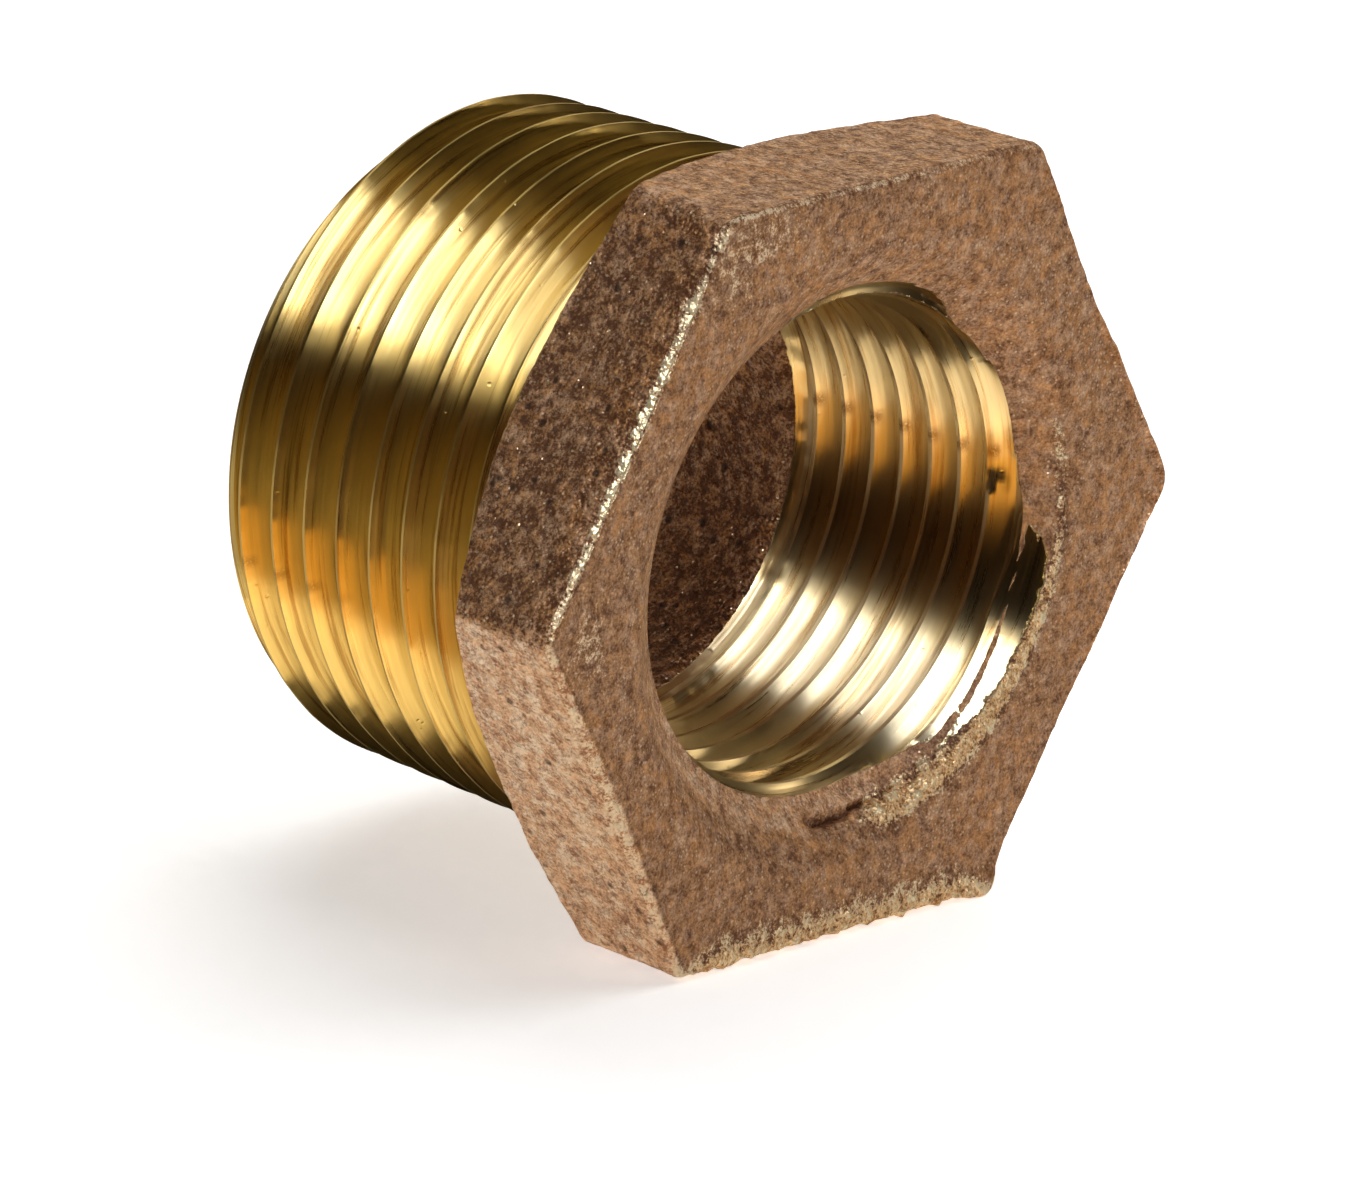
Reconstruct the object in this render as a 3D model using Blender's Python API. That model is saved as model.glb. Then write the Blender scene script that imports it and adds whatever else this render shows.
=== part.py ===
"""A cast bronze hex reducing bushing, 1 inch male by 3/4 inch female taper pipe thread.

The bushing is one casting, so it is one closed body. Its axis is X: the hex head and the mouth of the
female thread face +X, and the male thread points to -X. Two flats of the head face up and down, and the
origin is on the axis at the middle of the length.

The skin is built from half sections. Each half section is a closed loop of points that runs along the rear
end, the male thread, the head, the mouth and the female thread, and back through the core. Neighbouring
half sections are joined line by line, so every crest and root is a true helix.
"""
import math

import bmesh
import bpy

# Sizes are in millimetres and become metres when the mesh is written.
MM = 0.001

# The head.
ACROSS_FLATS = 37.2
HEAD_LENGTH = 8.0
CORNER_ROUND = 1.2
FRONT_BEVEL = 0.35
REAR_CONE_INSET = 0.6
REAR_CONE_SLOPE = math.tan(math.radians(27))

# The whole fitting.
TOTAL_LENGTH = 27.4
FRONT_X = TOTAL_LENGTH / 2
REAR_X = -TOTAL_LENGTH / 2
SHOULDER_X = FRONT_X - HEAD_LENGTH

# Both taper pipe threads: 1 in 16 on the diameter, 60 degree flanks, right-handed.
RADIUS_SLOPE = 1 / 32
FLANK_RUN = math.tan(math.radians(30))
FLAT_SHARE = 0.06

# The male thread. Its crest radius is given at the rear end.
MALE_PITCH = 25.4 / 11.5
MALE_END_CREST_RADIUS = 16.30
MALE_CREST_AT_TOP_X = REAR_X + 1.92
MALE_END_RADIUS = 14.6
MALE_END_CHAMFER_SLOPE = 1.0
MALE_RUN_OUT = 1.8

# The female thread. Its crest radius is given at the front face.
FEMALE_PITCH = 25.4 / 14
FEMALE_FACE_CREST_RADIUS = 11.83
FEMALE_CREST_AT_TOP_X = FRONT_X - 2.26
FEMALE_LENGTH = 14.8
FEMALE_RUN_OUT = 1.8
MOUTH_RADIUS = 14.3
MOUTH_DEPTH = 1.0

# The cored bore behind the female thread.
CORE_RADIUS = 11.0
CORE_STEP = 0.4
CORE_EDGE = 0.3

# Half sections lie at these angles from each corner of the head, on both sides of it. The first is where
# the rounding of the corner meets the flat.
CORNER_OFFSETS = (1.63, 8.0, 15.3, 22.6)
# No thread line starts nearer than this to the ring that its thread ends in.
LINE_GAP = 0.3
LINES_PER_TURN = 4


def section_angles():
    """The angles of the half sections, in degrees from +Z towards +Y."""
    angles = []
    for flat in range(0, 360, 60):
        corner = flat + 30
        before = [corner - offset for offset in reversed(CORNER_OFFSETS)]
        after = [corner + offset for offset in CORNER_OFFSETS]
        angles += [flat, *before, corner, *after]
    return angles


def hexagon_radius(degrees):
    """The distance from the axis to the side of the head, with its six edges rounded."""
    from_flat = (degrees + 30) % 60 - 30
    from_corner = math.radians(30 - abs(from_flat))
    centre = (ACROSS_FLATS / 2 - CORNER_ROUND) / math.cos(math.radians(30))
    tangent = math.atan2(CORNER_ROUND / 2, centre + CORNER_ROUND * math.cos(math.radians(30)))
    if from_corner < tangent:
        half_chord = math.sqrt(CORNER_ROUND**2 - (centre * math.sin(from_corner)) ** 2)
        return centre * math.cos(from_corner) + half_chord
    return ACROSS_FLATS / 2 / math.cos(math.radians(from_flat))


def thread_height(pitch):
    """The height of a 60 degree thread whose crests and roots are narrow flats."""
    return pitch * (0.5 - FLAT_SHARE) / FLANK_RUN


def male_crest_radius(x):
    return MALE_END_CREST_RADIUS + (x - REAR_X) * RADIUS_SLOPE


def female_crest_radius(x):
    return FEMALE_FACE_CREST_RADIUS - (FRONT_X - x) * RADIUS_SLOPE


def male_radius(x, on_crest):
    """The male thread, cut by the chamfer of the rear end and fading out at the shoulder."""
    crest = male_crest_radius(x)
    fade = min(1.0, (SHOULDER_X - x) / MALE_RUN_OUT)
    root = crest - thread_height(MALE_PITCH) * fade
    chamfer = MALE_END_RADIUS + (x - REAR_X) * MALE_END_CHAMFER_SLOPE
    return min(crest if on_crest else root, chamfer)


def female_radius(x, on_crest):
    """The female thread, cut by the cone of the mouth and fading out at its inner end."""
    depth = FRONT_X - x
    crest = female_crest_radius(x)
    fade = min(1.0, (FEMALE_LENGTH - depth) / FEMALE_RUN_OUT)
    root = crest + thread_height(FEMALE_PITCH) * fade
    cone = MOUTH_RADIUS - depth
    return max(crest if on_crest else root, cone)


def thread_lines(turn, pitch, crest_x, low_x, high_x):
    """Where the edges of crests and roots cross one half section: (line number, x, is it a crest)."""
    lines = []
    half_flat = FLAT_SHARE / 2
    edges = ((-half_flat, True), (half_flat, True), (0.5 - half_flat, False), (0.5 + half_flat, False))
    reach = math.ceil(TOTAL_LENGTH / pitch) + 1
    for count in range(-reach, reach + 1):
        for number, (share, on_crest) in enumerate(edges):
            x = crest_x + pitch * (count + share - turn)
            if low_x + LINE_GAP < x < high_x - LINE_GAP:
                lines.append((LINES_PER_TURN * count + number, x, on_crest))
    return lines


def half_section(degrees):
    """One closed loop of (key, x, radius). Neighbouring loops are joined where their keys agree."""
    turn = degrees / 360
    head = hexagon_radius(degrees)
    cone_start = ACROSS_FLATS / 2 - REAR_CONE_INSET
    rear_edge_x = SHOULDER_X + (head - cone_start) * REAR_CONE_SLOPE
    inner_x = FRONT_X - FEMALE_LENGTH
    mouth_x = FRONT_X - MOUTH_DEPTH

    loop = [
        ((0, 0), REAR_X, CORE_RADIUS + CORE_EDGE),
        ((0, 1), REAR_X, MALE_END_RADIUS),
    ]
    male = thread_lines(turn, MALE_PITCH, MALE_CREST_AT_TOP_X, REAR_X, SHOULDER_X)
    loop += [((1, line), x, male_radius(x, on_crest)) for line, x, on_crest in male]
    loop += [
        ((2, 0), SHOULDER_X, male_crest_radius(SHOULDER_X)),
        ((2, 1), SHOULDER_X, cone_start),
        ((2, 2), rear_edge_x, head),
        ((2, 3), FRONT_X - FRONT_BEVEL, head),
        ((2, 4), FRONT_X, head - FRONT_BEVEL),
        ((2, 5), FRONT_X, MOUTH_RADIUS),
        ((2, 6), mouth_x, MOUTH_RADIUS - MOUTH_DEPTH),
    ]
    female = thread_lines(turn, FEMALE_PITCH, FEMALE_CREST_AT_TOP_X, inner_x, mouth_x)
    loop += [((3, -line), x, female_radius(x, on_crest)) for line, x, on_crest in reversed(female)]
    loop += [
        ((4, 0), inner_x, female_crest_radius(inner_x)),
        ((4, 1), inner_x - CORE_STEP, CORE_RADIUS),
        ((4, 2), REAR_X + CORE_EDGE, CORE_RADIUS),
    ]
    return loop


def add_section(mesh, degrees):
    """Put one half section in the mesh and return its (key, vertex) list, closed back to its start."""
    angle = math.radians(degrees)
    corners = []
    for key, x, radius in half_section(degrees):
        place = (x * MM, radius * math.sin(angle) * MM, radius * math.cos(angle) * MM)
        corners.append((key, mesh.verts.new(place)))
    end_key = (5, 0)
    return corners + [(end_key, corners[0][1])]


def one_turn_on(corners):
    """The same half section, numbered as the helices reach it after a full turn."""
    shift = {1: LINES_PER_TURN, 3: -LINES_PER_TURN}
    return [((part, line + shift.get(part, 0)), vertex) for (part, line), vertex in corners]


def add_triangle(mesh, *vertices):
    mesh.faces.new(vertices)


def add_quad(mesh, a, b, c, d):
    """Two triangles over a, b, c, d, split along the shorter diagonal."""
    if (a.co - c.co).length < (b.co - d.co).length:
        add_triangle(mesh, a, b, c)
        add_triangle(mesh, a, c, d)
    else:
        add_triangle(mesh, a, b, d)
        add_triangle(mesh, b, c, d)


def join_sections(mesh, left, right):
    """Cover the strip between two half sections. A line that only one of them has takes one triangle."""
    i = 0
    j = 0
    while i < len(left) - 1 or j < len(right) - 1:
        here, there = left[i][1], right[j][1]
        next_left = left[i + 1] if i < len(left) - 1 else left[i]
        next_right = right[j + 1] if j < len(right) - 1 else right[j]
        if next_left[0] == next_right[0]:
            add_quad(mesh, here, next_left[1], next_right[1], there)
            i += 1
            j += 1
        elif next_left[0] < next_right[0]:
            add_triangle(mesh, here, next_left[1], there)
            i += 1
        else:
            add_triangle(mesh, here, next_right[1], there)
            j += 1


def bushing_mesh():
    """The closed skin of the bushing."""
    mesh = bmesh.new()
    sections = [add_section(mesh, degrees) for degrees in section_angles()]
    followers = sections[1:] + [one_turn_on(sections[0])]
    for left, right in zip(sections, followers):
        join_sections(mesh, left, right)
    bmesh.ops.recalc_face_normals(mesh, faces=mesh.faces)
    return mesh


def bronze_material():
    """Cast bronze as it leaves the sand, reddish brown and dull."""
    material = bpy.data.materials.new("cast_bronze")
    material.use_nodes = True
    shader = material.node_tree.nodes["Principled BSDF"]
    shader.inputs["Base Color"].default_value = (0.30, 0.17, 0.09, 1.0)
    shader.inputs["Metallic"].default_value = 0.8
    shader.inputs["Roughness"].default_value = 0.5
    return material


def make_object(name, mesh, material):
    """Write the mesh to a named object, with smooth shading between its sharp edges."""
    data = bpy.data.meshes.new(name)
    mesh.to_mesh(data)
    mesh.free()
    data.shade_smooth()
    data.set_sharp_from_angle(angle=math.radians(25))
    data.materials.append(material)
    piece = bpy.data.objects.new(name, data)
    bpy.context.scene.collection.objects.link(piece)
    return piece


def build():
    for old in list(bpy.data.objects):
        bpy.data.objects.remove(old, do_unlink=True)
    make_object("bushing_body", bushing_mesh(), bronze_material())


build()
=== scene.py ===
"""The looks of a cast bronze hex reducing bushing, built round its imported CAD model.

The real bushing is one casting, so it is one mesh here too. The mesh is a skin of half sections: each is a
closed loop of points that runs along the rear end, the male thread, the head, the mouth and the female
thread, and back through the cored bore. Cast surfaces get their lumps in the mesh and their grain in the
material; machined surfaces keep true helices and get turning marks that follow them.

Sizes are in millimetres in the CAD model's frame, until a mesh is made. The studio's are in metres.
"""
import math

import bpy
import numpy as np
from mathutils import Matrix, Vector, noise


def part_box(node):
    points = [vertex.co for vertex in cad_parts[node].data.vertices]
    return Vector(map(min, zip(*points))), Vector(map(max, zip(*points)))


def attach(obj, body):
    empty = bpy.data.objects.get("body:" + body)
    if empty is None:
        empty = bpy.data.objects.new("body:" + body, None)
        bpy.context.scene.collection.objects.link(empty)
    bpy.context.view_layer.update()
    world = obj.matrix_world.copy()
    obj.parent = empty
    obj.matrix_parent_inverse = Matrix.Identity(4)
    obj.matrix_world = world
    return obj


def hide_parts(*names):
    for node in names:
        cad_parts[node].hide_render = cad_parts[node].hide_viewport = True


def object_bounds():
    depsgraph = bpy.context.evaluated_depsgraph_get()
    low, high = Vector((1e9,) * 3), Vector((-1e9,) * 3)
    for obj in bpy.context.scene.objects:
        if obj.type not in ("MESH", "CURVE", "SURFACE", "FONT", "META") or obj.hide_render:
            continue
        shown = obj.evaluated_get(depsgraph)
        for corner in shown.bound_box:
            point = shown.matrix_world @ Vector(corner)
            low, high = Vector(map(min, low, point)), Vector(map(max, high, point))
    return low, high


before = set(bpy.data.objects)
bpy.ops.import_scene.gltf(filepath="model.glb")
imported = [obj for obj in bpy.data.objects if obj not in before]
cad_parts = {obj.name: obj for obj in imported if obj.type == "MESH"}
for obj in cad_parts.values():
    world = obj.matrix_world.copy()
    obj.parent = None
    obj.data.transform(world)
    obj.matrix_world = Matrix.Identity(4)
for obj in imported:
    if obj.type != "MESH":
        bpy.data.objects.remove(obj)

MM = 0.001
NODE = "bushing_body"
CAD_LOW, CAD_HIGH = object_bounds()

# ---------------------------------------------------------------- sizes read from the CAD model
NODE_LOW, NODE_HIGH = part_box(NODE)
FRONT_X = NODE_HIGH.x / MM
REAR_X = NODE_LOW.x / MM
TOTAL_LENGTH = FRONT_X - REAR_X
HALF_FLATS = (NODE_HIGH.z - NODE_LOW.z) / 2 / MM

# ---------------------------------------------------------------- the parts' numbers, in order
REAR_END, MALE_THREAD, NECK, SIDES, FACE, FEMALE_THREAD, CORE, CLOSING = range(8)

# ---------------------------------------------------------------- the head
SHOULDER_X = FRONT_X - 8.0
CORNER_ROUND = 1.2
REAR_CONE_START = HALF_FLATS - 0.6
# The middle of each flat that is worn in its own way. Angles are in degrees from +Z towards +Y.
TOP = 0
BOTTOM = 180
LOWER_LEFT = 240
UPPER_LEFT = 300
# Two dents in the front edge: the angle and the width of each.
DENTS = ((328, 1.3), (319, 1.8))

# ---------------------------------------------------------------- the threads, as the CAD model has them
RADIUS_SLOPE = 1 / 32
FLANK_RUN = math.tan(math.radians(30))

MALE_PITCH = 25.4 / 11.5
MALE_END_CREST_RADIUS = 16.30
MALE_CREST_AT_TOP_X = REAR_X + 1.92
MALE_END_RADIUS = 14.6
MALE_RUN_OUT = 1.8

FEMALE_PITCH = 25.4 / 14
FEMALE_FACE_CREST_RADIUS = 11.83
FEMALE_CREST_AT_TOP_X = FRONT_X - 2.26
FEMALE_LENGTH = 14.8
FEMALE_RUN_OUT = 1.6
FEMALE_RUN_IN = 0.7

CORE_RADIUS = 11.0
CORE_STEP = 0.5
CORE_EDGE = 0.4

# ---------------------------------------------------------------- the mouth
# The cast mouth is a soft dish that slopes down to the lip, where the female thread starts.
LIP_RADIUS = 12.4
LOW_LIP_RADIUS = 12.15
RIGHT_LIP_RADIUS = 12.85
# Where the lip has those two radii, as the centre, half width and fade of a window.
LOW_LIP = (205, 44, 34)
RIGHT_LIP = (76, 26, 30)
DISH_RADIUS = 14.9
DISH_SLOPE = 0.83
DISH_SOFTNESS = 0.7
# The chamfering tool ran off centre and cut one side only.
CUT_CENTRE = 105
CUT_RADIUS = 12.9
CUT_OFFSET = 1.15
# The cast dish is smaller there.
UNDISHED_CENTRE = 124
UNDISHED_HALF_WIDTH = 31
UNDISHED_RADIUS = 13.5
# A line of sand pits along the cut still looks as cast, and a crumbly golden rim runs outside it.
PIT_LINE_RADIUS = 12.85
PIT_LINE_WIDTH = 0.09
PIT_LINE_HALF_WIDTH = 30
PIT_LINE_CAST = 0.66
RIM_CENTRE = 120
RIM_HALF_WIDTH = 52
RIM_RADIUS = 14.15
RIM_BREADTH = 1.0
RIM_OVERLAP = 0.12
RIM_OVERLAP_SPAN = (143, 26, 16)
# The taper reamer left a narrow shelf at the top. Away from there its edge draws back by the reach.
SHELF_CENTRE = 8
SHELF_HALF_WIDTH = 30
SHELF_RADIUS = 13.15
SHELF_REACH = 0.9
SHELF_START = 1.45
SHELF_SLOPE = 2.2
SHELF_DEPTH = 2.15
# A crack runs along the bottom of the lip.
CRACK_CENTRE = 172
CRACK_HALF_WIDTH = 12
CRACK_RADIUS = 13.3

# The face is rubbed in two places: the y, z and size of each.
RUBBED = ((-8.6, 16.6, 2.2), (-18.2, -0.6, 1.5))

# Crests and roots are flats, and these are their shares of the pitch.
MALE_FLAT = 0.06
FEMALE_FLAT = 0.13
# The lines that make one turn, and how near the end of its thread a line may start.
LINES_PER_TURN = 8
LINE_GAP = 0.12

# Points of the other parts count as this far from the head's front edge.
FAR_FROM_EDGE = 9.0

# ---------------------------------------------------------------- how fine the skin is
CORNER_STEPS = 12
CORNER_SPAN = 6.0
FLAT_STEPS = 60
SIDE_ROWS = 26
FACE_ROWS = 27
CORE_ROWS = 20
REAR_ROWS = 7


def smooth_step(low, high, value):
    """0 at low and beyond it, 1 at high and beyond it, smooth between. low may be above high."""
    share = np.clip((value - low) / (high - low), 0.0, 1.0)
    return share * share * (3 - 2 * share)


def angle_gap(degrees, centre):
    """How far an angle is from another one, in degrees, from -180 to 180."""
    return (degrees - centre + 180) % 360 - 180


def hump(degrees, centre, width):
    """A smooth hump of height 1 on the circle of angles."""
    return math.exp(-((angle_gap(degrees, centre) / width) ** 2))


def window(degrees, centre, half_width, fade):
    """1 within half_width of an angle and 0 outside it, with a smooth change fade degrees wide."""
    gap = abs(angle_gap(degrees, centre))
    return 1 - float(smooth_step(half_width - fade / 2, half_width + fade / 2, gap))


def dents(degrees, first, second):
    """The two dents in the front edge, where the first and the second have these sizes."""
    return first * hump(degrees, *DENTS[0]) + second * hump(degrees, *DENTS[1])


def edge_round(degrees):
    """The rounding of the head's front edge, which is the most worn at the lower left."""
    worn = 0.42 + 0.38 * hump(degrees, LOWER_LEFT, 27) + 0.12 * hump(degrees, UPPER_LEFT, 22)
    return worn + dents(degrees, 0.5, 0.35)


def rear_cone_slope(degrees):
    """The slope of the cone behind the head, which the casting has unevenly."""
    return 0.51 + 0.22 * hump(degrees, UPPER_LEFT, 30) - 0.24 * hump(degrees, TOP, 26)


def section_angles():
    """The angles of the half sections, in degrees from +Z towards +Y, closer together at the corners."""
    angles = []
    for corner in range(30, 360, 60):
        start = corner - 30
        half_flat = (60 - CORNER_SPAN) / 2
        count = FLAT_STEPS // 2
        angles += [start + half_flat * step / count for step in range(count)]
        angles += [start + half_flat + CORNER_SPAN * step / CORNER_STEPS for step in range(CORNER_STEPS)]
        after = start + half_flat + CORNER_SPAN
        angles += [after + half_flat * step / count for step in range(count)]
    return angles


def hexagon_radius(degrees):
    """The distance from the axis to the side of the head, with its six edges rounded."""
    from_flat = (degrees + 30) % 60 - 30
    from_corner = math.radians(30 - abs(from_flat))
    centre = (HALF_FLATS - CORNER_ROUND) / math.cos(math.radians(30))
    tangent = math.atan2(CORNER_ROUND / 2, centre + CORNER_ROUND * math.cos(math.radians(30)))
    if from_corner < tangent:
        half_chord = math.sqrt(CORNER_ROUND**2 - (centre * math.sin(from_corner)) ** 2)
        return centre * math.cos(from_corner) + half_chord
    return HALF_FLATS / math.cos(math.radians(from_flat))


def thread_height(pitch, flat):
    return pitch * (0.5 - flat) / FLANK_RUN


def turn_profile(flat):
    """The lines of one turn as (share of the pitch, share of the height), from one crest to the next."""
    half = flat / 2
    slope = 0.5 - flat
    down = [(half + slope * step, 1 - step) for step in (0.0, 0.3, 0.65, 1.0)]
    up = [(0.5 + half + slope * step, step) for step in (0.0, 0.35, 0.7, 1.0)]
    return down + up


def thread_lines(turn, pitch, flat, crest_x, low_x, high_x):
    """Where the lines of a thread cross one half section: (line number, x, share of the height)."""
    lines = []
    reach = math.ceil(TOTAL_LENGTH / pitch) + 1
    for count in range(-reach, reach + 1):
        for number, (share, height) in enumerate(turn_profile(flat)):
            x = crest_x + pitch * (count + share - turn)
            if low_x + LINE_GAP < x < high_x - LINE_GAP:
                lines.append((LINES_PER_TURN * count + number, x, height))
    return lines


def male_crest_radius(x):
    return MALE_END_CREST_RADIUS + (x - REAR_X) * RADIUS_SLOPE


def female_crest_radius(x):
    return FEMALE_FACE_CREST_RADIUS - (FRONT_X - x) * RADIUS_SLOPE


def male_radius(x, height):
    """The male thread, cut by the chamfer of the rear end and fading out at the shoulder."""
    crest = male_crest_radius(x)
    fade = min(1.0, (SHOULDER_X - x) / MALE_RUN_OUT)
    radius = crest - thread_height(MALE_PITCH, MALE_FLAT) * fade * (1 - height)
    return min(radius, MALE_END_RADIUS + (x - REAR_X))


def lip_radius(degrees):
    """The radius where the mouth ends and the female thread starts."""
    low = (LOW_LIP_RADIUS - LIP_RADIUS) * window(degrees, *LOW_LIP)
    right = (RIGHT_LIP_RADIUS - LIP_RADIUS) * window(degrees, *RIGHT_LIP)
    return LIP_RADIUS + low + right


def female_radius(x, height, lip, mouth_depth):
    """The female thread, starting at the lip and fading out at its inner end."""
    depth = FRONT_X - x
    fade = min(1.0, (FEMALE_LENGTH - depth) / FEMALE_RUN_OUT)
    radius = female_crest_radius(x) + thread_height(FEMALE_PITCH, FEMALE_FLAT) * fade * (1 - height)
    radius = max(radius, lip + mouth_depth - depth)
    start = float(smooth_step(0.0, FEMALE_RUN_IN, depth - mouth_depth))
    return lip + (radius - lip) * start


def mouth_surface(radius, degrees):
    """How far the mouth lies behind the front plane, and how much deeper the tools cut than the casting.

    Along the pit line the second value is lowered, so the skin there looks as cast.
    """
    undished = window(degrees, UNDISHED_CENTRE, UNDISHED_HALF_WIDTH, 26)
    inside = DISH_RADIUS + (UNDISHED_RADIUS - DISH_RADIUS) * undished - radius
    cast = DISH_SLOPE * (inside + math.hypot(inside, DISH_SOFTNESS)) / 2
    chamfer = CUT_RADIUS + CUT_OFFSET * math.cos(math.radians(degrees - CUT_CENTRE)) - radius
    chamfer -= RIM_OVERLAP * window(degrees, *RIM_OVERLAP_SPAN)
    shelf_reach = SHELF_REACH * window(degrees, SHELF_CENTRE, SHELF_HALF_WIDTH, 34)
    shelf_edge = SHELF_RADIUS - SHELF_REACH + shelf_reach
    shelf = min(SHELF_DEPTH, SHELF_START + (shelf_edge - radius) * SHELF_SLOPE)
    tools = max(chamfer, shelf if radius < shelf_edge else -1.0)
    pit_line = math.exp(-(((radius - PIT_LINE_RADIUS) / PIT_LINE_WIDTH) ** 2))
    pit_line *= window(degrees, UNDISHED_CENTRE, PIT_LINE_HALF_WIDTH, 30)
    return max(cast, tools), tools - cast - PIT_LINE_CAST * pit_line


# ---------------------------------------------------------------- the parts of a half section
# Each part is a list of (key, x, radius, machined). A key is (part, number). machined is in millimetres: it is
# above 0 where a tool has cut and below 0 where the skin is as cast.
def rear_end():
    """The flat ring behind the male thread, from the bore outwards."""
    start = CORE_RADIUS + CORE_EDGE
    breadth = MALE_END_RADIUS - CORE_RADIUS - CORE_EDGE
    rows = []
    for row in range(REAR_ROWS):
        rows.append(((REAR_END, row), REAR_X, start + breadth * row / (REAR_ROWS - 1), 1.0))
    return rows


def male_thread(degrees):
    lines = thread_lines(degrees / 360, MALE_PITCH, MALE_FLAT, MALE_CREST_AT_TOP_X, REAR_X, SHOULDER_X)
    return [((MALE_THREAD, line), x, male_radius(x, height), 1.0) for line, x, height in lines]


def rear_edge_x(degrees):
    """Where the cone behind the head meets the head's side."""
    return SHOULDER_X + (hexagon_radius(degrees) - REAR_CONE_START) * rear_cone_slope(degrees)


def neck(degrees):
    """The shoulder, cut next to the thread and cast farther out, and the cone behind the head."""
    thread = male_crest_radius(SHOULDER_X)
    rows = [
        ((NECK, 0), SHOULDER_X, thread, 1.0),
        ((NECK, 1), SHOULDER_X, thread + 0.35, 0.2),
        ((NECK, 2), SHOULDER_X, thread + 0.6, -0.6),
        ((NECK, 3), SHOULDER_X, REAR_CONE_START, -1.0),
    ]
    for row in range(1, 4):
        share = row / 4
        x = SHOULDER_X + (rear_edge_x(degrees) - SHOULDER_X) * share
        radius = REAR_CONE_START + (hexagon_radius(degrees) - REAR_CONE_START) * share
        rows.append(((NECK, 3 + row), x, radius, -1.0))
    return rows


def side(degrees):
    """The side of the head, with its rounded front edge."""
    head = hexagon_radius(degrees)
    front_round = edge_round(degrees)
    start = rear_edge_x(degrees) + 0.12
    end = FRONT_X - front_round
    rows = []
    for row in range(SIDE_ROWS):
        rows.append(((SIDES, row), start + (end - start) * row / (SIDE_ROWS - 1), head, -1.0))
    for row in (1, 2):
        angle = math.radians(30 * row)
        x = FRONT_X - front_round * (1 - math.sin(angle))
        radius = head - front_round * (1 - math.cos(angle))
        rows.append(((SIDES, SIDE_ROWS + row), x, radius, -1.0))
    return rows


def face(degrees):
    """The front face and the mouth, from the head's edge to the lip. The rows lie closer near the lip."""
    start = hexagon_radius(degrees) - edge_round(degrees)
    lip = lip_radius(degrees)
    rows = []
    for row in range(FACE_ROWS):
        share = row / (FACE_ROWS - 1)
        radius = start + (lip - start) * (1 - (1 - share) ** 1.35)
        depth, machined = mouth_surface(radius, degrees)
        rows.append(((FACE, row), FRONT_X - depth, radius, machined))
    return rows


def female_thread(degrees):
    lip = lip_radius(degrees)
    mouth_depth = mouth_surface(lip, degrees)[0]
    inner_x = FRONT_X - FEMALE_LENGTH
    mouth_x = FRONT_X - mouth_depth
    lines = thread_lines(degrees / 360, FEMALE_PITCH, FEMALE_FLAT, FEMALE_CREST_AT_TOP_X, inner_x, mouth_x)
    rows = []
    for line, x, height in reversed(lines):
        rows.append(((FEMALE_THREAD, -line), x, female_radius(x, height, lip, mouth_depth), 1.0))
    return rows


def core():
    """The cored bore, from the end of the female thread to the rear end."""
    inner_x = FRONT_X - FEMALE_LENGTH
    start = inner_x - CORE_STEP
    end = REAR_X + CORE_EDGE
    rows = [((CORE, 0), inner_x, female_crest_radius(inner_x), 0.1)]
    for row in range(CORE_ROWS):
        rows.append(((CORE, 1 + row), start + (end - start) * row / (CORE_ROWS - 1), CORE_RADIUS, -1.0))
    return rows


def half_section(degrees):
    """One closed loop. Neighbouring loops are joined where their keys agree."""
    outside = rear_end() + male_thread(degrees) + neck(degrees) + side(degrees)
    return outside + face(degrees) + female_thread(degrees) + core()


# ---------------------------------------------------------------- the skin
class Skin:
    """The points and triangles of the bushing, and what each point is."""

    def __init__(self):
        self.points = []
        self.radii = []
        self.degrees = []
        self.machined = []
        self.parts = []
        self.triangles = []

    def add_section(self, degrees):
        """Add one half section and return its (key, point number) list, closed back to its start."""
        angle = math.radians(degrees)
        first = len(self.points)
        corners = []
        for key, x, radius, machined in half_section(degrees):
            corners.append((key, len(self.points)))
            self.points.append((x, radius * math.sin(angle), radius * math.cos(angle)))
            self.radii.append(radius)
            self.degrees.append(degrees)
            self.machined.append(machined)
            self.parts.append(key[0])
        return corners + [((CLOSING, 0), first)]

    def join(self, left, right):
        """Cover the strip between two half sections. A line that only one has ends in a triangle."""
        i = 0
        j = 0
        while i < len(left) - 1 or j < len(right) - 1:
            here, there = left[i][1], right[j][1]
            next_left = left[min(i + 1, len(left) - 1)]
            next_right = right[min(j + 1, len(right) - 1)]
            if next_left[0] == next_right[0]:
                self.add_quad(here, next_left[1], next_right[1], there)
                i += 1
                j += 1
            elif next_left[0] < next_right[0]:
                self.triangles.append((here, next_left[1], there))
                i += 1
            else:
                self.triangles.append((here, next_right[1], there))
                j += 1

    def add_quad(self, a, b, c, d):
        """Two triangles over a, b, c, d, split along the shorter diagonal."""
        points = self.points
        if math.dist(points[a], points[c]) < math.dist(points[b], points[d]):
            self.triangles += [(a, b, c), (a, c, d)]
        else:
            self.triangles += [(a, b, d), (b, c, d)]


def one_turn_on(corners):
    """The same half section, numbered as the helices reach it after a full turn."""
    shift = {MALE_THREAD: LINES_PER_TURN, FEMALE_THREAD: -LINES_PER_TURN}
    return [((part, line + shift.get(part, 0)), point) for (part, line), point in corners]


def bushing_skin():
    skin = Skin()
    sections = [skin.add_section(degrees) for degrees in section_angles()]
    followers = sections[1:] + [one_turn_on(sections[0])]
    for left, right in zip(sections, followers):
        skin.join(left, right)
    return skin


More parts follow.
